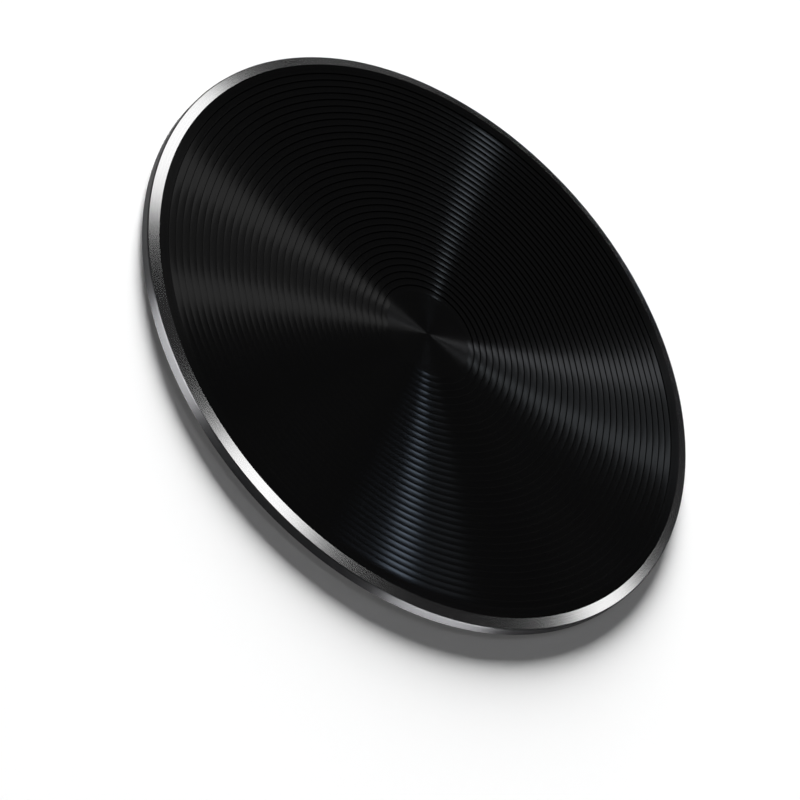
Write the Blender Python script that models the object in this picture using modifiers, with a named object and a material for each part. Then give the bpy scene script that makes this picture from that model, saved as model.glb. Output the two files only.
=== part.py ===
"""Round plate for a magnetic phone mount, lying face up on its back.

Three pieces are stacked on one upright axis: a steel plate turned as one piece, with
concentric grooves in its face and a chamfer cut round its rim, an adhesive pad bonded
to its back, and the release liner that covers the pad. Metres, +Z up. The origin is
under the middle of the liner, on the surface that the plate lies on.
"""

import math

import bpy

# Plate
PLATE_DIAMETER = 0.0400
PLATE_THICKNESS = 0.00085
CHAMFER_WIDTH = 0.00070
CHAMFER_DROP = 0.00022

# Turned face
SPOT_DIAMETER = 0.0060
GROOVE_PITCH = 0.000475
GROOVE_DEPTH = 0.00004
RIM_LAND = 0.00060

# Bonded back
PAD_INSET = 0.00050
PAD_THICKNESS = 0.00025
LINER_THICKNESS = 0.00010

# Facets round each piece, and the dihedral angle past which an edge stays sharp
FACETS = 80
SHARP_ANGLE = math.radians(16)

# Points closer than this to the axis close the middle of a turned piece
AXIS_MERGE = 0.00001

COLLECTION = "magnetic_mount_plate"


def clear_scene():
    """Empty the scene of whatever it starts with."""
    for obj in list(bpy.data.objects):
        bpy.data.objects.remove(obj, do_unlink=True)


def finish(name, colour, roughness, metallic):
    """A material with one Principled shader."""
    material = bpy.data.materials.new(name)
    material.use_nodes = True
    shader = material.node_tree.nodes["Principled BSDF"]
    shader.inputs["Base Color"].default_value = (*colour, 1.0)
    shader.inputs["Roughness"].default_value = roughness
    shader.inputs["Metallic"].default_value = metallic
    return material


def groove_crests():
    """Radii of the crests from the smooth spot outwards, a whole number of pitches apart."""
    innermost = SPOT_DIAMETER / 2
    outermost = PLATE_DIAMETER / 2 - CHAMFER_WIDTH - RIM_LAND
    grooves = max(0, math.floor((outermost - innermost) / GROOVE_PITCH))
    return [innermost + step * GROOVE_PITCH for step in range(grooves + 1)]


def plate_profile(back):
    """Half section of the plate as (radius, height), from the middle of its face to the middle of its back."""
    face = back + PLATE_THICKNESS
    radius = PLATE_DIAMETER / 2
    crests = groove_crests()
    profile = [(0.0, face), (crests[0], face)]
    for crest in crests[1:]:
        profile.append((crest - GROOVE_PITCH / 2, face - GROOVE_DEPTH))
        profile.append((crest, face))
    profile.append((radius - CHAMFER_WIDTH, face))
    profile.append((radius, face - CHAMFER_DROP))
    profile.append((radius, back))
    profile.append((0.0, back))
    return profile


def disc_profile(radius, underside, thickness):
    """Half section of a plain disc, from the middle of its top to the middle of its underside."""
    top = underside + thickness
    return [(0.0, top), (radius, top), (radius, underside), (0.0, underside)]


def turned(name, profile, collection):
    """A solid of revolution about +Z: the profile goes round with a Screw and is made a mesh."""
    outline = bpy.data.meshes.new(name + "_profile")
    points = [(radius, 0.0, height) for radius, height in profile]
    edges = [(index, index + 1) for index in range(len(points) - 1)]
    outline.from_pydata(points, edges, [])
    piece = bpy.data.objects.new(name, outline)
    collection.objects.link(piece)

    screw = piece.modifiers.new("Turn", "SCREW")
    screw.axis = "Z"
    screw.angle = math.tau
    screw.steps = FACETS
    screw.render_steps = FACETS
    screw.use_merge_vertices = True
    screw.merge_threshold = AXIS_MERGE

    graph = bpy.context.evaluated_depsgraph_get()
    solid = bpy.data.meshes.new_from_object(piece.evaluated_get(graph))
    piece.modifiers.remove(screw)
    piece.data = solid
    bpy.data.meshes.remove(outline)
    solid.name = name
    solid.shade_smooth()
    solid.set_sharp_from_angle(angle=SHARP_ANGLE)
    return piece


def radius_of(point):
    """Distance of a point from the upright axis."""
    return math.hypot(point.x, point.y)


def add_plate(collection, back):
    """The turned plate: black face, and the rim's cut chamfer and wall left bright."""
    plate = turned("plate", plate_profile(back), collection)
    plate.data.materials.append(finish("black_face", (0.004, 0.004, 0.005), 0.25, 0.0))
    plate.data.materials.append(finish("bright_cut_rim", (0.80, 0.81, 0.82), 0.18, 1.0))
    face_edge = PLATE_DIAMETER / 2 - CHAMFER_WIDTH
    for polygon in plate.data.polygons:
        on_rim = min(radius_of(plate.data.vertices[i].co) for i in polygon.vertices) > face_edge - AXIS_MERGE
        polygon.material_index = int(on_rim)
    return plate


def add_adhesive_pad(collection, underside):
    """The double-sided pad, set in from the plate's edge so that it stays out of sight."""
    radius = PLATE_DIAMETER / 2 - PAD_INSET
    pad = turned("adhesive_pad", disc_profile(radius, underside, PAD_THICKNESS), collection)
    pad.data.materials.append(finish("adhesive_foam", (0.03, 0.03, 0.03), 0.70, 0.0))
    return pad


def add_release_liner(collection, underside):
    """The film under the pad, cut to the pad's outline."""
    radius = PLATE_DIAMETER / 2 - PAD_INSET
    liner = turned("release_liner", disc_profile(radius, underside, LINER_THICKNESS), collection)
    liner.data.materials.append(finish("liner_film", (0.78, 0.77, 0.73), 0.45, 0.0))
    return liner


def main():
    """Stack the three pieces face to face, from the surface that they lie on."""
    clear_scene()
    collection = bpy.data.collections.new(COLLECTION)
    bpy.context.scene.collection.children.link(collection)

    pad_underside = LINER_THICKNESS
    plate_back = pad_underside + PAD_THICKNESS
    add_release_liner(collection, 0.0)
    add_adhesive_pad(collection, pad_underside)
    add_plate(collection, plate_back)


main()
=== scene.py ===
"""Looks of the round magnetic mount plate: a turned black face, a bright cut rim, an adhesive back.

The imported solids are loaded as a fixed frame. Each of the three pieces is modelled again with
finer edges and grooves in the place of its solid, dressed in node materials, and lit on a plain
pale floor by a few soft lamps. Everything is in metres, with +Z out of the plate's face.
"""

import logging
import math
from dataclasses import dataclass, field
from enum import Enum
from typing import Union

import bmesh
import bpy
from mathutils import Matrix, Quaternion, Vector


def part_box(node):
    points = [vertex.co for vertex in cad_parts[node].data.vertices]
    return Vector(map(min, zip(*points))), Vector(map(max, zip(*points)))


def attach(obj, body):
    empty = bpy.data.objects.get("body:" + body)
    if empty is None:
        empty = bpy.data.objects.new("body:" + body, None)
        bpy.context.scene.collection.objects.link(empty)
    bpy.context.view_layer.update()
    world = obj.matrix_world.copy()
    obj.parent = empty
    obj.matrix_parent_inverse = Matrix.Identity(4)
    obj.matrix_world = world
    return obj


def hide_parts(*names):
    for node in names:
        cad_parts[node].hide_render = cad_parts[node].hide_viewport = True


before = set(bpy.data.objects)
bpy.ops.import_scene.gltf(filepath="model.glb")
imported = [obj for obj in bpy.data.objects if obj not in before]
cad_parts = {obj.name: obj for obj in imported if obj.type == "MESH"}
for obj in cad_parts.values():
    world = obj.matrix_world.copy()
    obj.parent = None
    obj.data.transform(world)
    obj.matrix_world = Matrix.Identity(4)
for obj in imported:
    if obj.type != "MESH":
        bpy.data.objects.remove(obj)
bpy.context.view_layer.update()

log = logging.getLogger("mount_plate")

MM = 0.001
IMAGE_SIDE = 800
SENSOR_WIDTH = 36.0
BODY = "root"

# A face counts as level when the upright part of its normal is more than this
LEVEL_NORMAL = 0.9
# The faces between two rings of a turned piece have no more sides than this
MOST_RING_SIDES = 4
# A noise texture swings about this value
NOISE_MIDDLE = 0.5
# A quarter turn of the direction in which gloss is drawn out
ACROSS = 0.25

Colour = tuple[float, float, float]
BLACK: Colour = (0.0, 0.0, 0.0)
WHITE: Colour = (1.0, 1.0, 1.0)
Value = Union["Signal", float, Colour, Vector]


class Operation(Enum):
    """Math nodes that a signal's operators stand for."""

    ADD = "ADD"
    SUBTRACT = "SUBTRACT"
    MULTIPLY = "MULTIPLY"
    DIVIDE = "DIVIDE"
    POWER = "POWER"
    MAXIMUM = "MAXIMUM"
    MINIMUM = "MINIMUM"


@dataclass(frozen=True)
class Signal:
    """An output socket whose operators add Math nodes to its graph."""

    graph: "Graph"
    socket: bpy.types.NodeSocket

    def __add__(self, other: Value) -> "Signal":
        """This plus other."""
        return self.graph.maths(Operation.ADD, self, other)

    def __radd__(self, other: Value) -> "Signal":
        """Other plus this."""
        return self.graph.maths(Operation.ADD, other, self)

    def __sub__(self, other: Value) -> "Signal":
        """This minus other."""
        return self.graph.maths(Operation.SUBTRACT, self, other)

    def __rsub__(self, other: Value) -> "Signal":
        """Other minus this."""
        return self.graph.maths(Operation.SUBTRACT, other, self)

    def __mul__(self, other: Value) -> "Signal":
        """This times other."""
        return self.graph.maths(Operation.MULTIPLY, self, other)

    def __rmul__(self, other: Value) -> "Signal":
        """Other times this."""
        return self.graph.maths(Operation.MULTIPLY, other, self)

    def __truediv__(self, other: Value) -> "Signal":
        """This divided by other."""
        return self.graph.maths(Operation.DIVIDE, self, other)

    def __rtruediv__(self, other: Value) -> "Signal":
        """Other divided by this."""
        return self.graph.maths(Operation.DIVIDE, other, self)

    def __pow__(self, other: Value) -> "Signal":
        """This to the power other."""
        return self.graph.maths(Operation.POWER, self, other)

    def __rpow__(self, other: Value) -> "Signal":
        """Other to the power this."""
        return self.graph.maths(Operation.POWER, other, self)

    def clipped(self) -> "Signal":
        """This held between 0 and 1."""
        low = self.graph.maths(Operation.MAXIMUM, self, 0.0)
        return self.graph.maths(Operation.MINIMUM, low, 1.0)


@dataclass
class Graph:
    """The node tree of one material, with its Principled shader ready to take values."""

    name: str
    owner: bpy.types.Material | bpy.types.World = field(init=False)
    shader: bpy.types.Node = field(init=False)

    def __post_init__(self) -> None:
        """Make the material and find its shader."""
        self.owner = bpy.data.materials.new(self.name)
        self.owner.use_nodes = True
        self.shader = self.owner.node_tree.nodes["Principled BSDF"]

    def link(self, value: Value, socket: bpy.types.NodeSocket) -> None:
        """Feed a signal, or set a plain value, into a socket.

        Args:
            value: A signal, a number, or a colour or vector as a tuple.
            socket: The input that takes it.
        """
        if isinstance(value, Signal):
            self.owner.node_tree.links.new(value.socket, socket)
        elif isinstance(value, tuple) and len(value) == 3 and socket.type == "RGBA":
            socket.default_value = (*value, 1.0)
        else:
            socket.default_value = value

    def node(self, kind: str, output: int | str = 0, settings: dict | None = None,
             inputs: dict[int | str, Value] | None = None) -> Signal:
        """Add a node.

        Args:
            kind: The node's Blender type.
            output: Index or name of the output that is wanted.
            settings: The node's own properties, set before its sockets.
            inputs: Values or signals by socket index or name.

        Returns:
            The chosen output as a signal.
        """
        made = self.owner.node_tree.nodes.new(kind)
        for key, value in (settings or {}).items():
            setattr(made, key, value)
        for key, value in (inputs or {}).items():
            self.link(value, made.inputs[key])
        return Signal(self, made.outputs[output])

    def maths(self, operation: Operation, *values: Value) -> Signal:
        """Add a Math node on up to two values.

        Args:
            operation: What the node works out.
            *values: Its inputs, in order.

        Returns:
            The node's result.
        """
        return self.node("ShaderNodeMath", settings={"operation": operation.value},
                         inputs=dict(enumerate(values)))

    def mixed(self, share: Value, first: Value, second: Value) -> Signal:
        """Blend two colours in a Mix node, whose colour sockets come after those for numbers and vectors.

        Args:
            share: 0 for the first, 1 for the second.
            first: Colour at 0.
            second: Colour at 1.

        Returns:
            The blended colour.
        """
        return self.node("ShaderNodeMix", output=2, settings={"data_type": "RGBA"},
                         inputs={0: share, 6: first, 7: second})

    def place(self) -> Signal:
        """Object coordinates, which are the part's own metres."""
        return self.node("ShaderNodeTexCoord", output="Object")

    def parts(self, vector: Signal) -> tuple[Signal, Signal, Signal]:
        """X, Y and Z of a vector.

        Args:
            vector: The vector to take apart.

        Returns:
            Its three parts as signals.
        """
        made = self.owner.node_tree.nodes.new("ShaderNodeSeparateXYZ")
        self.link(vector, made.inputs[0])
        return tuple(Signal(self, socket) for socket in made.outputs)

    def radius(self) -> Signal:
        """Distance from the plate's upright axis, in millimetres."""
        x, y, _ = self.parts(self.place())
        return (x * x + y * y) ** 0.5 / MM

    def marks(self, distance: Signal, per_mm: float) -> Signal:
        """Random shade that changes along one distance alone, as turning marks do.

        Args:
            distance: How far along a point is, in millimetres.
            per_mm: How many marks lie in a millimetre.

        Returns:
            A value about 0.5.
        """
        return self.node("ShaderNodeTexNoise", output="Fac", settings={"noise_dimensions": "1D"},
                         inputs={"W": distance * per_mm, "Scale": 1.0, "Detail": 2.0})

    def grain(self, per_mm: float, detail: float = 2.0) -> Signal:
        """Random shade in space.

        Args:
            per_mm: How many grains lie in a millimetre.
            detail: Octaves of finer grain.

        Returns:
            A value about 0.5.
        """
        return self.node("ShaderNodeTexNoise", output="Fac",
                         inputs={"Vector": self.place(), "Scale": per_mm / MM, "Detail": detail})

    def bump(self, height: Signal, depth: float) -> Signal:
        """Turn a height signal into a normal.

        Args:
            height: Height from 0 to 1.
            depth: How deep 1 is, in metres.

        Returns:
            The bent normal.
        """
        return self.node("ShaderNodeBump", output="Normal",
                         inputs={"Strength": 1.0, "Distance": depth, "Height": height})

    def dress(self, **values: Value) -> bpy.types.ID:
        """Set the shader's sockets by name, with underscores for spaces.

        Args:
            **values: A value or signal for each socket.

        Returns:
            The finished material or world.
        """
        for key, value in values.items():
            self.link(value, self.shader.inputs[key.replace("_", " ")])
        return self.owner


@dataclass
class RoomGraph(Graph):
    """The node tree of the room's light, with its Background shader ready to take values."""

    def __post_init__(self) -> None:
        """Make the world and find its shader."""
        self.owner = bpy.data.worlds.new(self.name)
        self.owner.use_nodes = True
        self.shader = self.owner.node_tree.nodes["Background"]

    def agreement(self, direction: Vector) -> Signal:
        """How closely the way looked along agrees with another way.

        Args:
            direction: Unit vector to compare with.

        Returns:
            The cosine of the angle between them.
        """
        looked = self.node("ShaderNodeTexCoord", output="Generated")
        return self.node("ShaderNodeVectorMath", output="Value", settings={"operation": "DOT_PRODUCT"},
                         inputs={0: looked, 1: direction})


@dataclass(frozen=True)
class TurnedBlackFinish:
    """Gloss black coat over turned metal: marks run round the axis, so light fans out from it."""

    dark: Colour = (0.0005, 0.0005, 0.0005)
    light: Colour = (0.0009, 0.0009, 0.0009)
    reflectance: float = 1.0
    roughness: float = 0.125
    roughness_swing: float = 0.03
    anisotropy: float = 0.82
    marks_per_mm: float = 7.0
    mark_depth: float = 0.00008 * MM

    def material(self) -> bpy.types.Material:
        """The material of the grooved face."""
        graph = Graph("turned_black")
        marks = graph.marks(graph.radius(), self.marks_per_mm)
        return graph.dress(
            Base_Color=graph.mixed(marks, self.dark, self.light),
            Metallic=0.0,
            Specular_IOR_Level=self.reflectance,
            Roughness=self.roughness + (marks - NOISE_MIDDLE) * self.roughness_swing,
            Anisotropic=self.anisotropy,
            Anisotropic_Rotation=ACROSS,
            Normal=graph.bump(marks, self.mark_depth),
        )


@dataclass(frozen=True)
class GrooveStepFinish:
    """Matt black of the short steep step in each groove, where the coat lies rough and without gloss."""

    dark: Colour = (0.0010, 0.0010, 0.0010)
    light: Colour = (0.0020, 0.0020, 0.0020)
    grains_per_mm: float = 16.0

    def material(self) -> bpy.types.Material:
        """The material of the steps."""
        graph = Graph("groove_step")
        return graph.dress(
            Base_Color=graph.mixed(graph.grain(self.grains_per_mm), self.dark, self.light),
            Roughness=1.0,
            Specular_IOR_Level=0.0,
        )


@dataclass(frozen=True)
class CutRimFinish:
    """Bare bright metal left by the cutter that chamfers the rim, with faint turning marks."""

    dull: Colour = (0.75, 0.75, 0.75)
    bright: Colour = (0.89, 0.89, 0.89)
    roughness: float = 0.136
    roughness_swing: float = 0.02
    anisotropy: float = 0.85
    marks_per_mm: float = 6.0
    mark_depth: float = 0.00005 * MM

    def material(self) -> bpy.types.Material:
        """The material of the chamfer."""
        graph = Graph("cut_rim")
        marks = graph.marks(graph.radius(), self.marks_per_mm)
        return graph.dress(
            Base_Color=graph.mixed(marks, self.dull, self.bright),
            Metallic=1.0,
            Roughness=self.roughness + (marks - NOISE_MIDDLE) * self.roughness_swing,
            Anisotropic=self.anisotropy,
            Normal=graph.bump(marks, self.mark_depth),
        )


@dataclass(frozen=True)
class EdgeWallFinish:
    """Dark metal of the upright edge, whose turning marks spread light up and down."""

    colour: Colour = (0.075, 0.075, 0.078)
    roughness: float = 0.40
    anisotropy: float = 1.0
    bands_per_mm: float = 14.0
    band_depth: float = 0.0001 * MM

    def material(self) -> bpy.types.Material:
        """The material of the edge wall."""
        graph = Graph("edge_wall")
        _, _, height = graph.parts(graph.place())
        bands = graph.marks(height / MM, self.bands_per_mm)
        return graph.dress(
            Base_Color=self.colour,
            Metallic=1.0,
            Roughness=self.roughness,
            Anisotropic=self.anisotropy,
            Anisotropic_Rotation=ACROSS,
            Normal=graph.bump(bands, self.band_depth),
        )


@dataclass(frozen=True)
class BackCoatFinish:
    """Satin black coat on the plate's flat back."""

    colour: Colour = (0.012, 0.012, 0.013)
    roughness: float = 0.45
    roughness_swing: float = 0.2
    grains_per_mm: float = 12.0
    grain_depth: float = 0.0015 * MM

    def material(self) -> bpy.types.Material:
        """The material of the back."""
        graph = Graph("back_coat")
        grain = graph.grain(self.grains_per_mm)
        return graph.dress(
            Base_Color=self.colour,
            Roughness=self.roughness + (grain - NOISE_MIDDLE) * self.roughness_swing,
            Normal=graph.bump(grain, self.grain_depth),
        )


@dataclass(frozen=True)
class AdhesiveFoamFinish:
    """Matt black foam tape with fine closed cells."""

    dark: Colour = (0.018, 0.018, 0.019)
    light: Colour = (0.045, 0.045, 0.046)
    roughness: float = 0.75
    cells_per_mm: float = 10.0
    cell_depth: float = 0.012 * MM

    def material(self) -> bpy.types.Material:
        """The material of the adhesive pad."""
        graph = Graph("adhesive_foam")
        cells = graph.node("ShaderNodeTexVoronoi", output="Distance",
                           inputs={"Vector": graph.place(), "Scale": self.cells_per_mm / MM})
        return graph.dress(
            Base_Color=graph.mixed(cells.clipped(), self.dark, self.light),
            Roughness=self.roughness,
            Normal=graph.bump(cells, self.cell_depth),
        )


@dataclass(frozen=True)
class LinerFilmFinish:
    """Off-white release paper with a faint fibre and a waxy sheen."""

    warm: Colour = (0.74, 0.72, 0.67)
    pale: Colour = (0.82, 0.81, 0.77)
    roughness: float = 0.42
    roughness_swing: float = 0.2
    fibres_per_mm: float = 4.0
    fibre_detail: float = 4.0
    fibre_depth: float = 0.002 * MM

    def material(self) -> bpy.types.Material:
        """The material of the release liner."""
        graph = Graph("liner_film")
        fibres = graph.grain(self.fibres_per_mm, self.fibre_detail)
        return graph.dress(
            Base_Color=graph.mixed(fibres, self.warm, self.pale),
            Roughness=self.roughness + (fibres - NOISE_MIDDLE) * self.roughness_swing,
            Normal=graph.bump(fibres, self.fibre_depth),
        )


@dataclass(frozen=True)
class FloorFinish:
    """Matt pale floor that reads as white in the picture and still takes a shadow."""

    colour: Colour = (0.80, 0.80, 0.80)
    glow: float = 0.06

    def material(self) -> bpy.types.Material:
        """The material of the floor: it glows to the camera and in gloss alone, and so lights nothing."""
        graph = Graph("pale_floor")
        seen = (
            graph.node("ShaderNodeLightPath", output="Is Camera Ray")
            + graph.node("ShaderNodeLightPath", output="Is Glossy Ray")
            + graph.node("ShaderNodeLightPath", output="Is Transmission Ray")
        ).clipped()
        return graph.dress(
            Base_Color=self.colour,
            Roughness=1.0,
            Specular_IOR_Level=0.0,
            Emission_Color=graph.mixed(seen, BLACK, WHITE),
            Emission_Strength=self.glow,
        )


class Zone(Enum):
    """Places on the plate that have a finish of their own; the value is the material slot."""

    FACE = 0
    CHAMFER = 1
    WALL = 2
    BACK = 3
    STEP = 4


@dataclass
class Turning:
    """A round piece under construction about the upright axis, in edit mode until it is finished."""

    name: str
    radius: float
    low: float
    high: float
    facets: int
    facing: float = field(init=False, default=1.0)
    piece: bpy.types.Object = field(init=False)

    def __post_init__(self) -> None:
        """Add a cylinder at the piece's size and place, and enter edit mode on it."""
        bpy.ops.object.select_all(action="DESELECT")
        bpy.ops.mesh.primitive_cylinder_add(vertices=self.facets, radius=self.radius,
                                            depth=self.high - self.low, end_fill_type="NGON",
                                            location=(0.0, 0.0, (self.low + self.high) / 2))
        self.piece = bpy.context.active_object
        self.piece.name = self.name
        self.piece.data.name = self.name
        bpy.ops.object.transform_apply(location=True, rotation=True, scale=True)
        bpy.ops.object.mode_set(mode="EDIT")
        bpy.ops.mesh.select_mode(type="FACE")

    def pick_face(self, upward: bool) -> None:
        """Select the many-sided face that closes the top or the underside.

        Args:
            upward: True for the top.
        """
        self.facing = 1.0 if upward else -1.0
        bpy.ops.mesh.select_all(action="DESELECT")
        mesh = bmesh.from_edit_mesh(self.piece.data)
        for face in mesh.faces:
            level = face.normal.z * self.facing > LEVEL_NORMAL
            face.select_set(level and len(face.verts) > MOST_RING_SIDES)
        bmesh.update_edit_mesh(self.piece.data)

    def follow(self, section: list[tuple[float, float]]) -> None:
        """Carry the selected face along a half section, leaving a ring of faces at each step.

        Args:
            section: Radius and height of each point, from the face's edge towards the axis.
        """
        for (radius, height), (next_radius, next_height) in zip(section, section[1:]):
            rise = (next_height - height) * self.facing
            bpy.ops.mesh.inset(thickness=radius - next_radius, depth=rise, use_even_offset=True)

    def close_middle(self) -> None:
        """Pull the selected face together to one point on the axis."""
        bpy.ops.mesh.merge(type="CENTER")

    def finish(self, smooth_angle: float) -> bpy.types.Object:
        """Leave edit mode and shade the piece.

        Args:
            smooth_angle: Edges that bend more than this stay sharp, in degrees.

        Returns:
            The finished piece.
        """
        bpy.ops.object.mode_set(mode="OBJECT")
        bpy.ops.object.shade_smooth_by_angle(angle=math.radians(smooth_angle))
        return self.piece


def arc(centre: tuple[float, float], radius: float, start: float, stop: float,
        steps: int) -> list[tuple[float, float]]:
    """Points along an arc in a half section.

    Args:
        centre: Radius and height of the arc's middle.
        radius: The arc's own radius.
        start: Angle of the first point above level, in degrees.
        stop: Angle of the last point.
        steps: How many steps lie between them.

    Returns:
        Radius and height of each point.
    """
    angles = [math.radians(start + (stop - start) * step / steps) for step in range(steps + 1)]
    return [(centre[0] + radius * math.cos(a), centre[1] + radius * math.sin(a)) for a in angles]


@dataclass
class GroovedPlate:
    """The turned steel plate: grooves, smooth land, chamfer, edge wall and flat back."""

    chamfer_width: float = 0.70 * MM
    chamfer_drop: float = 0.22 * MM
    land_width: float = 0.60 * MM
    spot_radius: float = 3.0 * MM
    groove_pitch: float = 0.475 * MM
    flank_share: float = 0.90
    flank_cuts: int = 6
    steep_slope: float = 9.0
    shallow_slope: float = 2.5
    spot_pitch: float = 0.12 * MM
    spot_slope: float = 4.0
    edge_round: float = 0.10 * MM
    back_round: float = 0.05 * MM
    round_steps: int = 11
    back_steps: int = 5
    support: float = 0.015 * MM
    facets: int = 256
    sharp_angle: float = 7.3
    back_below: float = -0.5
    radius: float = field(init=False)
    back: float = field(init=False)
    face: float = field(init=False)

    def __post_init__(self) -> None:
        """Take the outer sizes from the plate's solid."""
        low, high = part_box("plate")
        self.radius = high.x
        self.back = low.z
        self.face = high.z

    def rim_section(self) -> list[tuple[float, float]]:
        """Half section from the top of the edge wall, over the round and up the chamfer."""
        lean = math.atan2(self.chamfer_drop, self.chamfer_width)
        shoulder = self.face - self.chamfer_drop
        height = shoulder - self.edge_round * (1 - math.sin(lean)) / math.cos(lean)
        centre = (self.radius - self.edge_round, height)
        edge = arc(centre, self.edge_round, 0.0, 90.0 - math.degrees(lean), self.round_steps)
        last_radius, last_height = edge[-1]
        inwards, upwards = self.support * math.cos(lean), self.support * math.sin(lean)
        return [(self.radius, height - self.support), *edge, (last_radius - inwards, last_height + upwards),
                (self.radius - self.chamfer_width, self.face)]

    def groove_section(self, crest: float) -> list[tuple[float, float]]:
        """Half section of one groove: a short steep step under its outer crest, then a long hollow flank.

        Args:
            crest: Radius of the outer crest.

        Returns:
            Radius and height of each point after the outer crest, down to and with the inner one.
        """
        steep, shallow = (math.tan(math.radians(slope)) for slope in (self.steep_slope, self.shallow_slope))
        flank = self.groove_pitch * self.flank_share
        inner = crest - self.groove_pitch
        points = []
        for cut in range(self.flank_cuts, -1, -1):
            out = cut / self.flank_cuts
            sunk = flank * (steep * out + (shallow - steep) * out * out / 2)
            points.append((inner + flank * out, self.face - sunk))
        return points

    def spot_section(self) -> list[tuple[float, float]]:
        """Half section of the fine shallow rings of the spot, towards the axis."""
        half = self.spot_pitch / 2
        sunk = half * math.tan(math.radians(self.spot_slope))
        steps = 2 * (math.floor(self.spot_radius / self.spot_pitch) - 1)
        return [(self.spot_radius - step * half, self.face - sunk * (step % 2))
                for step in range(1, steps + 1)]

    def face_section(self) -> list[tuple[float, float]]:
        """Half section of the face, from the chamfer's top edge to the last ring round the axis."""
        outermost = self.radius - self.chamfer_width - self.land_width
        grooves = math.floor((outermost - self.spot_radius) / self.groove_pitch)
        crests = [self.spot_radius + step * self.groove_pitch for step in range(grooves, 0, -1)]
        turned = [point for crest in crests for point in self.groove_section(crest)]
        return [(crests[0], self.face), *turned, *self.spot_section()]

    def back_section(self) -> list[tuple[float, float]]:
        """Half section from the foot of the edge wall, round the back edge and across the back."""
        centre = (self.radius - self.back_round, self.back + self.back_round)
        edge = arc(centre, self.back_round, 0.0, -90.0, self.back_steps)
        return [(self.radius, centre[1] + self.support), *edge, (edge[-1][0] - self.support, self.back),
                (self.radius / 2, self.back)]

    def build(self) -> bpy.types.Object:
        """Model the plate from a cylinder, turning its face and then its back.

        Returns:
            The plate, with its zones assigned to material slots.
        """
        rim, back = self.rim_section(), self.back_section()
        turning = Turning("grooved_plate", self.radius, back[0][1], rim[0][1], self.facets)
        turning.pick_face(upward=True)
        turning.follow(rim + self.face_section())
        turning.close_middle()
        turning.pick_face(upward=False)
        turning.follow(back)
        turning.close_middle()
        piece = turning.finish(self.sharp_angle)
        self.mark_zones(piece)
        return piece

    def mark_zones(self, piece: bpy.types.Object) -> None:
        """Give each face of the mesh the material slot of its zone.

        Args:
            piece: The modelled plate.
        """
        cut_edge = self.radius - self.chamfer_width
        for polygon in piece.data.polygons:
            out = math.hypot(polygon.center.x, polygon.center.y)
            level = polygon.normal.z > LEVEL_NORMAL
            if polygon.normal.z < self.back_below:
                zone = Zone.BACK
            elif out < cut_edge:
                zone = Zone.FACE if level else Zone.STEP
            else:
                zone = Zone.CHAMFER if level else Zone.WALL
            polygon.material_index = zone.value

    def dress(self, piece: bpy.types.Object) -> None:
        """Add the finishes in the order of the zones.

        Args:
            piece: The modelled plate.
        """
        finishes = {Zone.FACE: TurnedBlackFinish(), Zone.CHAMFER: CutRimFinish(),
                    Zone.WALL: EdgeWallFinish(), Zone.BACK: BackCoatFinish(), Zone.STEP: GrooveStepFinish()}
        for zone in Zone:
            piece.data.materials.append(finishes[zone].material())

    def make(self) -> bpy.types.Object:
        """Build and dress the plate, and put it in the place of its solid."""
        piece = self.build()
        self.dress(piece)
        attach(piece, BODY)
        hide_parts("plate")
        return piece


@dataclass
class BackLayer:
    """A thin round layer under the plate, with its edge slightly rounded as die-cut stock is."""

    name: str
    node: str
    slot: str
    finish: AdhesiveFoamFinish | LinerFilmFinish
    edge_share: float
    facets: int = 192
    round_steps: int = 3
    sharp_angle: float = 40.0

    def make(self) -> bpy.types.Object:
        """Build and dress the layer, and put it in the place of its solid."""
        low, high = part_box(self.node)
        edge = (high.z - low.z) * self.edge_share
        turning = Turning(self.name, high.x, low.z + edge, high.z - edge, self.facets)
        for upward, level, turn in ((True, high.z, 90.0), (False, low.z, -90.0)):
            middle = level - math.copysign(edge, turn)
            turning.pick_face(upward=upward)
            turning.follow([*arc((high.x - edge, middle), edge, 0.0, turn, self.round_steps),
                            (high.x / 2, level)])
            turning.close_middle()
        piece = turning.finish(self.sharp_angle)
        piece.data.materials.append(self.finish.material())
        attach(piece, BODY)
        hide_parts(self.node)
        return piece


@dataclass(frozen=True)
class Viewpoint:
    """Where the picture is taken from, fitted to the plate's outline in the photograph."""

    elevation: float = 41.098
    distance_in_radii: float = 13.0
    roll: float = 49.604
    focal_in_pixels: float = 4267.0
    centre_right_px: float = 28.27
    centre_up_px: float = 66.00
    farthest_in_radii: float = 500.0

    def direction(self) -> Vector:
        """Unit vector from the plate's middle to the camera."""
        angle = math.radians(self.elevation)
        return Vector((0.0, -math.cos(angle), math.sin(angle)))

    def make(self, target: Vector, radius: float) -> bpy.types.Object:
        """Add the camera.

        Args:
            target: Middle of the plate's face.
            radius: Radius of the plate.

        Returns:
            The camera, which is also set as the scene's.
        """
        bpy.ops.object.camera_add()
        camera = bpy.context.active_object
        camera.name = "photo_camera"
        camera.data.sensor_width = SENSOR_WIDTH
        camera.data.lens = self.focal_in_pixels * SENSOR_WIDTH / IMAGE_SIDE
        camera.data.clip_start = radius
        camera.data.clip_end = radius * self.farthest_in_radii
        camera.location = target + self.direction() * self.distance_in_radii * radius
        ahead = Vector((0.0, 0.0, -1.0))
        wanted = Vector((self.centre_right_px, self.centre_up_px, -self.focal_in_pixels)).normalized()
        camera.rotation_mode = "QUATERNION"
        camera.rotation_quaternion = (
            self.direction().to_track_quat("Z", "Y")
            @ Quaternion((0.0, 0.0, 1.0), math.radians(self.roll))
            @ ahead.rotation_difference(wanted).inverted()
        )
        bpy.context.scene.camera = camera
        return camera


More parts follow.
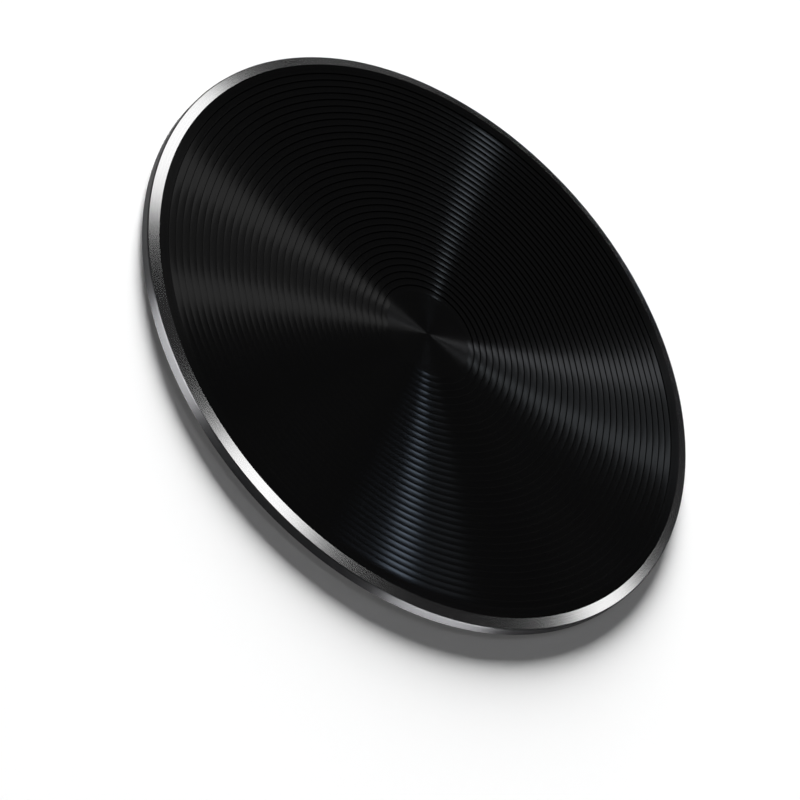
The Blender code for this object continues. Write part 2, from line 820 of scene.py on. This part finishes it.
@dataclass(frozen=True)
class Sight:
    """The plate as the camera sees it, for working out where a facet's mirror image comes from."""

    middle: Vector
    radius: float
    camera: Vector

    def mirrored(self, azimuth: float, tilt: float, reach: float, distance: float) -> Vector:
        """Point that a facet shows to the camera.

        Args:
            azimuth: Where the facet lies on the plate and the way it leans, in degrees.
            tilt: How far it leans outwards from upright, in degrees.
            reach: How far out it lies, as a share of the plate's radius.
            distance: How far the point is from the facet.

        Returns:
            The point's place.
        """
        a, t = math.radians(azimuth), math.radians(tilt)
        outward = Vector((math.cos(a), math.sin(a), 0.0))
        facet = self.middle + outward * self.radius * reach
        normal = outward * math.sin(t) + Vector((0.0, 0.0, math.cos(t)))
        view = (self.camera - facet).normalized()
        return facet + (2 * normal.dot(view) * normal - view) * distance


@dataclass(frozen=True)
class StripLamp:
    """A soft lamp placed where chosen facets of the plate mirror it to the camera.

    The facets are those at reach, a share of the plate's radius, that lean by tilt degrees
    towards azimuth, over a spread of each. A lamp that doesn't light matt surfaces is only mirrored.
    """

    name: str
    azimuth: float
    azimuth_spread: float
    tilt: float
    tilt_spread: float
    radiance: float
    reach: float = 0.65
    colour: Colour = WHITE
    distance: float = 1.2
    lights_matt: bool = True

    def make(self, sight: Sight) -> bpy.types.Object:
        """Add the lamp, facing the plate.

        Args:
            sight: The plate as the camera sees it.

        Returns:
            The lamp.
        """
        half_tilt, half_turn = self.tilt_spread / 2, self.azimuth_spread / 2

        def shown(turn: float, lean: float) -> Vector:
            """Place of the lamp's point that a facet off the middle one shows."""
            return sight.mirrored(self.azimuth + turn, self.tilt + lean, self.reach, self.distance)

        middle = shown(0.0, 0.0)
        along = shown(0.0, half_tilt) - shown(0.0, -half_tilt)
        across = shown(half_turn, 0.0) - shown(-half_turn, 0.0)
        facing = (middle - sight.middle).normalized()
        x_axis = (along - facing * along.dot(facing)).normalized()
        y_axis = facing.cross(x_axis)
        bpy.ops.object.light_add(type="AREA", location=middle)
        lamp = bpy.context.active_object
        lamp.name = self.name
        lamp.rotation_mode = "QUATERNION"
        lamp.rotation_quaternion = Matrix((x_axis, y_axis, facing)).transposed().to_quaternion()
        lamp.data.shape = "RECTANGLE"
        lamp.data.size = along.length
        lamp.data.size_y = across.length
        lamp.data.color = self.colour
        lamp.data.energy = self.radiance * math.pi * lamp.data.size * lamp.data.size_y
        lamp.visible_diffuse = self.lights_matt
        lamp.visible_camera = False
        return lamp


@dataclass(frozen=True)
class SideLamp:
    """A large soft round lamp that lights what is matt, casts the plate's shadow and isn't mirrored."""

    name: str
    azimuth: float
    elevation: float
    half_width: float
    irradiance: float
    distance: float
    colour: Colour = WHITE

    def make(self, sight: Sight) -> bpy.types.Object:
        """Add the lamp, facing the plate.

        Args:
            sight: The plate as the camera sees it.

        Returns:
            The lamp.
        """
        a, e = math.radians(self.azimuth), math.radians(self.elevation)
        towards = Vector((math.cos(e) * math.cos(a), math.cos(e) * math.sin(a), math.sin(e)))
        bpy.ops.object.light_add(type="AREA", location=sight.middle + towards * self.distance)
        lamp = bpy.context.active_object
        lamp.name = self.name
        lamp.rotation_mode = "QUATERNION"
        lamp.rotation_quaternion = towards.to_track_quat("Z", "Y")
        lamp.data.shape = "DISK"
        lamp.data.size = 2 * self.distance * math.tan(math.radians(self.half_width))
        lamp.data.color = self.colour
        lamp.data.energy = self.irradiance * math.pi * self.distance ** 2 / math.sin(e)
        lamp.visible_glossy = False
        lamp.visible_camera = False
        return lamp


@dataclass(frozen=True)
class Room:
    """The dim light of the room, darker in a ring round what the flat plate mirrors to the camera.

    The face mirrors the pale part inside the ring, and the chamfer mirrors the ring. The ring's start and
    stop are in degrees from its middle, and softness is a difference of cosines.
    """

    pale: Colour = (0.023, 0.023, 0.024)
    dark: Colour = (0.009, 0.009, 0.0095)
    ring_start: float = 28.0
    ring_stop: float = 50.0
    softness: float = 0.02

    def make(self, sight: Sight) -> bpy.types.World:
        """Build the world.

        Args:
            sight: The plate as the camera sees it.

        Returns:
            The world.
        """
        seen = sight.mirrored(azimuth=0.0, tilt=0.0, reach=0.0, distance=1.0)
        graph = RoomGraph("room")
        cosine = graph.agreement((seen - sight.middle).normalized())
        start, stop = (math.cos(math.radians(angle)) for angle in (self.ring_start, self.ring_stop))
        within = ((cosine - start) / self.softness).clipped()
        beyond = ((stop - cosine) / self.softness).clipped()
        return graph.dress(Color=graph.mixed(within + beyond, self.dark, self.pale), Strength=1.0)


@dataclass(frozen=True)
class Studio:
    """Floor, world, lamps and camera round the plate."""

    floor_side: float = 3.0
    floor_gap: float = 0.01 * MM
    room: Room = Room()
    viewpoint: Viewpoint = Viewpoint()
    # Each lamp's name, azimuth and its spread, tilt and its spread, all in degrees, and radiance
    lamps: tuple[StripLamp, ...] = (
        StripLamp("fan_right_high", 50.0, 6.0, 6.5, 9.0, 0.54, colour=(0.91, 0.94, 1.0)),
        StripLamp("fan_right_low", 29.0, 6.0, 6.5, 9.0, 0.38, colour=(0.86, 0.93, 1.0)),
        StripLamp("fan_right_between", 40.0, 16.0, 6.5, 9.0, 0.08, colour=(0.86, 0.93, 1.0)),
        StripLamp("fan_left_high", 202.0, 10.0, 6.5, 9.0, 0.25),
        StripLamp("fan_left_low", 229.5, 8.0, 6.5, 9.0, 0.27),
        StripLamp("fan_left_between", 216.0, 18.0, 6.5, 9.0, 0.055),
        StripLamp("fan_top", 114.2, 5.0, 8.6, 4.0, 0.85, colour=(0.78, 0.89, 1.0)),
        StripLamp("fan_top_between", 119.0, 16.0, 8.4, 4.2, 0.02, colour=(0.80, 0.90, 1.0)),
        StripLamp("fan_bottom", 302.0, 5.0, 8.8, 3.6, 2.15, colour=(0.64, 0.79, 1.0)),
        StripLamp("fan_bottom_left", 294.0, 9.0, 8.6, 4.0, 0.06, colour=(0.64, 0.79, 1.0)),
        StripLamp("fan_bottom_right", 313.0, 8.0, 8.6, 4.0, 0.13, colour=(0.75, 0.86, 1.0)),
        StripLamp("rim_right", 349.6, 17.0, 17.5, 5.5, 1.32, reach=1.0),
        StripLamp("rim_near", 271.7, 21.0, 17.5, 5.5, 1.38, reach=1.0),
        StripLamp("rim_left", 197.5, 35.5, 17.5, 5.5, 1.27, reach=1.0),
        StripLamp("rim_far", 146.0, 44.0, 17.5, 5.5, 0.045, reach=1.0),
        StripLamp("edge_left", 244.5, 20.0, 62.5, 13.0, 50.0, reach=1.0, lights_matt=False),
        StripLamp("edge_low", 310.5, 20.0, 62.5, 13.0, 59.0, reach=1.0, lights_matt=False),
    )
    key: SideLamp = SideLamp("key", azimuth=130.0, elevation=18.0, half_width=15.0, irradiance=3.85,
                             distance=5.0)

    def make(self, middle: Vector, radius: float) -> None:
        """Build the studio.

        Args:
            middle: Middle of the plate's face.
            radius: Radius of the plate.
        """
        camera = self.viewpoint.make(middle, radius)
        sight = Sight(middle, radius, camera.location.copy())
        self.make_floor()
        for lamp in (*self.lamps, self.key):
            lamp.make(sight)
        bpy.context.scene.world = self.room.make(sight)

    def make_floor(self) -> bpy.types.Object:
        """The plain floor that the plate lies on."""
        bpy.ops.object.select_all(action="DESELECT")
        bpy.ops.mesh.primitive_plane_add(size=self.floor_side, location=(0.0, 0.0, -self.floor_gap))
        floor = bpy.context.active_object
        floor.name = "floor"
        floor.data.materials.append(FloorFinish().material())
        return floor


def report(piece: bpy.types.Object) -> None:
    """Log a piece's name, size and face count.

    Args:
        piece: A finished piece.
    """
    size = " x ".join(f"{side / MM:.2f}" for side in piece.dimensions)
    log.info("%s: %s mm, %d faces", piece.name, size, len(piece.data.polygons))


def main() -> None:
    """Build the three pieces and the studio round them."""
    logging.basicConfig(level=logging.INFO, format="%(name)s: %(message)s")
    bpy.context.scene.view_settings.view_transform = "Standard"
    plate = GroovedPlate()
    report(plate.make())
    report(BackLayer("foam_pad", "adhesive_pad", "adhesive", AdhesiveFoamFinish(), edge_share=0.25).make())
    report(BackLayer("liner_disc", "release_liner", "liner", LinerFilmFinish(), edge_share=0.30).make())
    Studio().make(Vector((0.0, 0.0, plate.face)), plate.radius)


if __name__ == "__main__":
    main()
